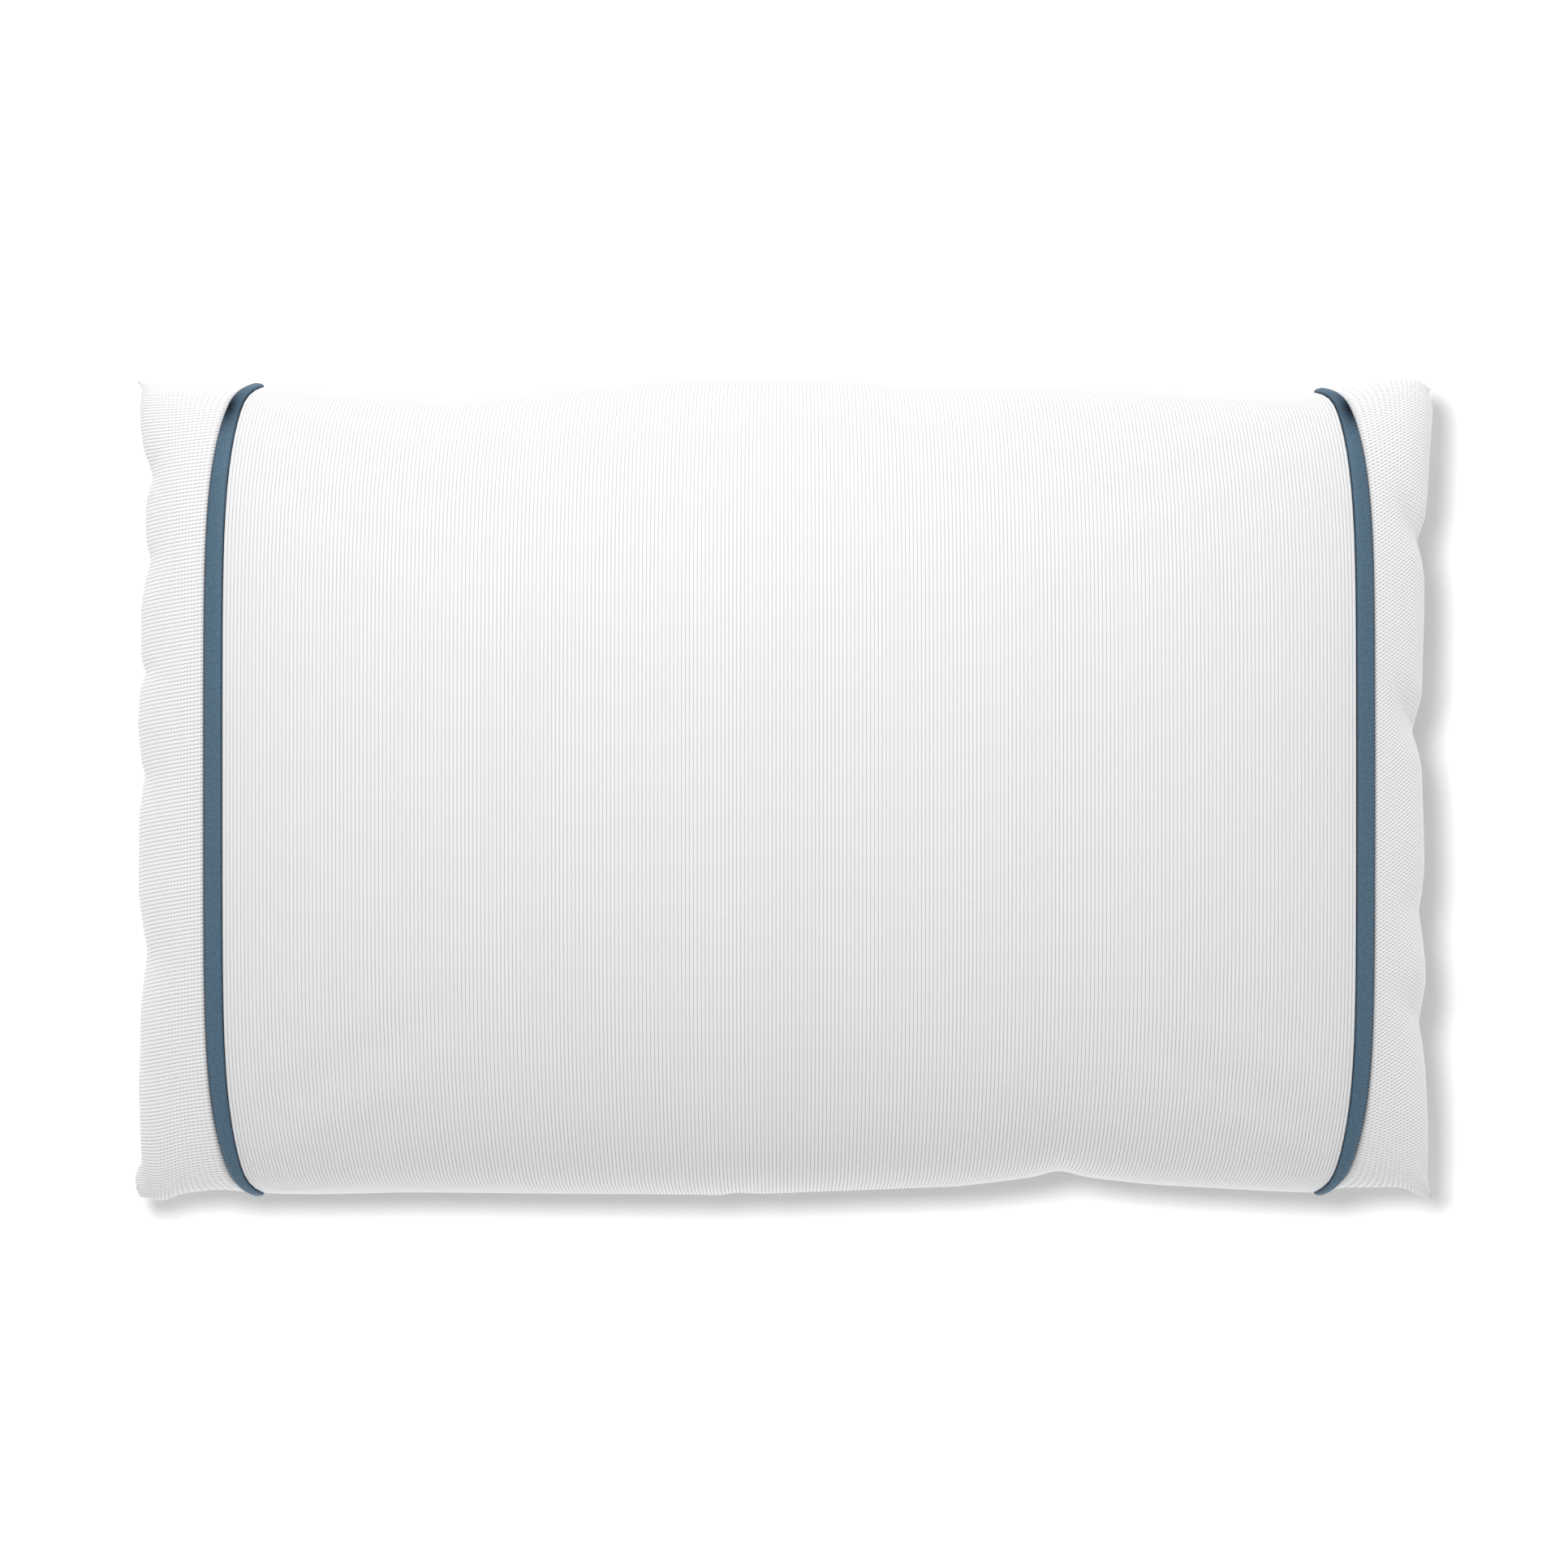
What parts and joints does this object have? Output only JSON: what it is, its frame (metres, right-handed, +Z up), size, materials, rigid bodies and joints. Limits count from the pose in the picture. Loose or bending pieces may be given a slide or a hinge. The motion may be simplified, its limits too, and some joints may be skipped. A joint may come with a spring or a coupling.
{
  "type": "bed pillow",
  "caption": "Plump rectangular bed pillow in a white ribbed knit cover with raised steel-blue bands near each end, mesh knit ends and a concealed coil zip.",
  "frame": {"origin": "middle of the underside that the pillow lies on", "axes": "+X along the length towards the zipped end, +Y across the width, +Z up out of the upper face"},
  "size_m": [0.734, 0.4626, 0.15],
  "materials": {
    "ribbed_knit": "fine ribbed knit, smooth",
    "mesh_knit": "open mesh knit",
    "band_cloth": "satin-faced band, steel blue",
    "foam_strip": "foam strip, hidden",
    "liner_ticking": "plain weave",
    "fibre": "loose fibre, hidden",
    "thread": "overlock thread and binding",
    "tape": "woven zip tape",
    "nylon": "nylon coil",
    "nickel": "nickel plated",
    "label": "blank satin label"
  },
  "bodies": {
    "pillow": {"centre_panel": "ribbed_knit", "left_end_panel": "mesh_knit", "right_end_panel": "mesh_knit", "left_band": "band_cloth", "right_band": "band_cloth", "left_band_filler": "foam_strip", "right_band_filler": "foam_strip", "left_seam_binding": "thread", "care_label": "label", "zip_tape_upper": "tape", "zip_tape_lower": "tape", "zip_coil_upper": "nylon", "zip_coil_lower": "nylon", "zip_top_stop_upper": "nickel", "zip_top_stop_lower": "nickel", "zip_bottom_stop": "nickel", "liner_upper": "liner_ticking", "liner_lower": "liner_ticking", "liner_seam_overlock": "thread", "fill_core": "fibre"},
    "zip_slider": {"zip_slider": "nickel"},
    "zip_pull": {"zip_pull": "nickel"}
  },
  "joints": [
    {"name": "zip_slide", "type": "slide", "parent": "pillow", "child": "zip_slider", "axis": [0, -1, 0], "range_m": [0, 0.359]},
    {"name": "pull_swing", "type": "hinge", "parent": "zip_slider", "child": "zip_pull", "pos_m": [0.3506, 0.186, 0.068], "axis": [0, 0, 1], "range_deg": [0, 150]}
  ]
}
